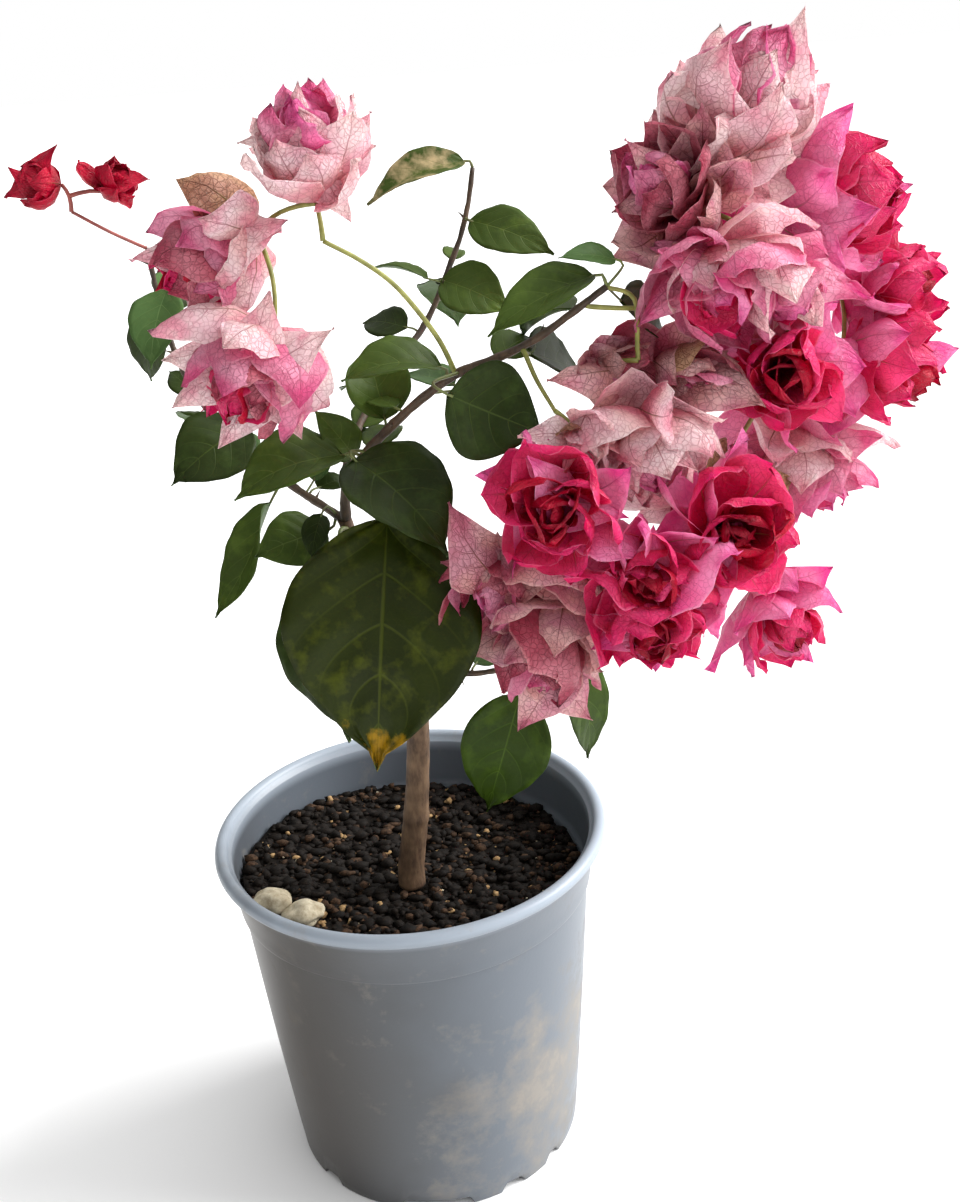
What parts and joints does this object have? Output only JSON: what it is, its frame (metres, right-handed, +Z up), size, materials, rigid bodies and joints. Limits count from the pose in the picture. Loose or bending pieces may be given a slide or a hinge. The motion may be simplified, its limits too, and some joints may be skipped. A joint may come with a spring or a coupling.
{
  "type": "potted bougainvillea bush",
  "caption": "Young bougainvillea bush in a round plastic nursery pot: a leaning stem, slender boughs, ovate leaves and crowded heads of pink papery bracts.",
  "frame": {"origin": "centre of the pot's flat underside, which stands on the ground or table", "axes": "+Z up along the pot's axis; +X to the right of the bush's front, where the largest flower heads are; +Y to the back"},
  "size_m": [0.35, 0.2023, 0.4753],
  "materials": {
    "pot_plastic": "semi-matte grey-blue moulded plastic",
    "potting_soil": "damp granular potting soil",
    "pale_stone": "matte pale stone",
    "bark": "pinkish grey-brown bark",
    "young_bark": "smooth brown young bark",
    "green_stalk": "green flower stalk",
    "red_stalk": "red-brown flower stalk",
    "leaf": "satin green leaf",
    "pale_bract": "papery pale pink bract",
    "rose_bract": "papery rose pink bract",
    "crimson_bract": "papery crimson bract"
  },
  "bodies": {
    "root": {"pot": "pot_plastic", "soil": "potting_soil", "stone_left": "pale_stone", "stone_right": "pale_stone", "trunk": "bark", "right_top_head": "pale_bract", "right_upper_head": "pale_bract", "right_outer_head": "rose_bract", "right_inner_head": "rose_bract", "far_right_head": "rose_bract", "right_middle_head": "rose_bract", "far_right_low_head": "rose_bract", "right_lower_head": "rose_bract", "front_upper_head": "pale_bract", "front_left_head": "rose_bract", "front_middle_head": "rose_bract", "front_right_head": "rose_bract", "front_low_head": "pale_bract", "low_right_head": "rose_bract", "pale_right_head": "pale_bract", "left_top_head": "pale_bract", "left_outer_head": "rose_bract", "left_low_head": "pale_bract", "far_left_head": "crimson_bract", "far_left_small_head": "crimson_bract", "back_upper_head": "rose_bract", "back_lower_head": "rose_bract", "leader": "bark", "right_bough": "young_bark", "back_bough": "young_bark", "left_bough": "young_bark", "low_right_bough": "young_bark", "left_flower_stalk": "green_stalk", "front_flower_stalk": "green_stalk", "right_flower_stalk": "green_stalk", "hanging_flower_stalk": "green_stalk", "far_left_flower_stalk": "red_stalk", "front_leaf": "leaf", "front_back_leaf": "leaf", "centre_leaf": "leaf", "mid_right_leaf": "leaf", "drooping_leaf": "leaf", "left_mid_leaf": "leaf", "left_back_leaf": "leaf", "left_low_leaf": "leaf", "upper_left_leaf": "leaf", "folded_leaf": "leaf", "upper_centre_leaf": "leaf", "back_mid_leaf": "leaf", "back_top_leaf": "leaf", "top_left_leaf": "leaf", "low_right_leaf": "leaf", "far_low_leaf": "leaf", "far_left_leaf": "leaf", "far_left_back_leaf": "leaf", "rear_low_leaf": "leaf", "rear_mid_leaf": "leaf", "rear_high_leaf": "leaf", "rear_left_leaf": "leaf"}
  },
  "joints": []
}
